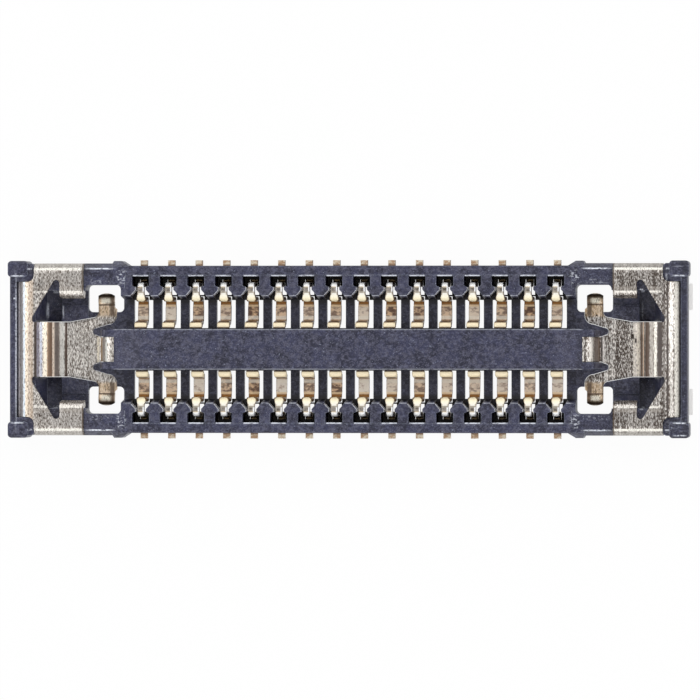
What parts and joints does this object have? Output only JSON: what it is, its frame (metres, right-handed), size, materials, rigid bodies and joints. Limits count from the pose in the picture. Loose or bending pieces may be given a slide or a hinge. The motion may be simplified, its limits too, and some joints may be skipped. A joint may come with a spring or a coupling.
{
  "type": "fpc connector",
  "caption": "Low-profile surface-mount receptacle that joins a flexible circuit's plug to a board, with two rows of spring contacts beside an island and a metal guide at each end.",
  "frame": {"origin": "middle of the housing on the board's surface", "axes": "+X along the contact rows, +Y across them, +Z away from the board"},
  "size_m": [0.0086, 0.0022, 0.0006],
  "materials": {
    "housing_plastic": "satin",
    "fitting_metal": "satin",
    "contact_gold": "polished"
  },
  "bodies": {
    "root": {"housing": "housing_plastic", "end_fitting_left": "fitting_metal", "end_fitting_right": "fitting_metal", "contact_a01": "contact_gold", "contact_a02": "contact_gold", "contact_a03": "contact_gold", "contact_a04": "contact_gold", "contact_a05": "contact_gold", "contact_a06": "contact_gold", "contact_a07": "contact_gold", "contact_a08": "contact_gold", "contact_a09": "contact_gold", "contact_a10": "contact_gold", "contact_a11": "contact_gold", "contact_a12": "contact_gold", "contact_a13": "contact_gold", "contact_a14": "contact_gold", "contact_a15": "contact_gold", "contact_a16": "contact_gold", "contact_b01": "contact_gold", "contact_b02": "contact_gold", "contact_b03": "contact_gold", "contact_b04": "contact_gold", "contact_b05": "contact_gold", "contact_b06": "contact_gold", "contact_b07": "contact_gold", "contact_b08": "contact_gold", "contact_b09": "contact_gold", "contact_b10": "contact_gold", "contact_b11": "contact_gold", "contact_b12": "contact_gold", "contact_b13": "contact_gold", "contact_b14": "contact_gold", "contact_b15": "contact_gold", "contact_b16": "contact_gold"}
  },
  "joints": []
}
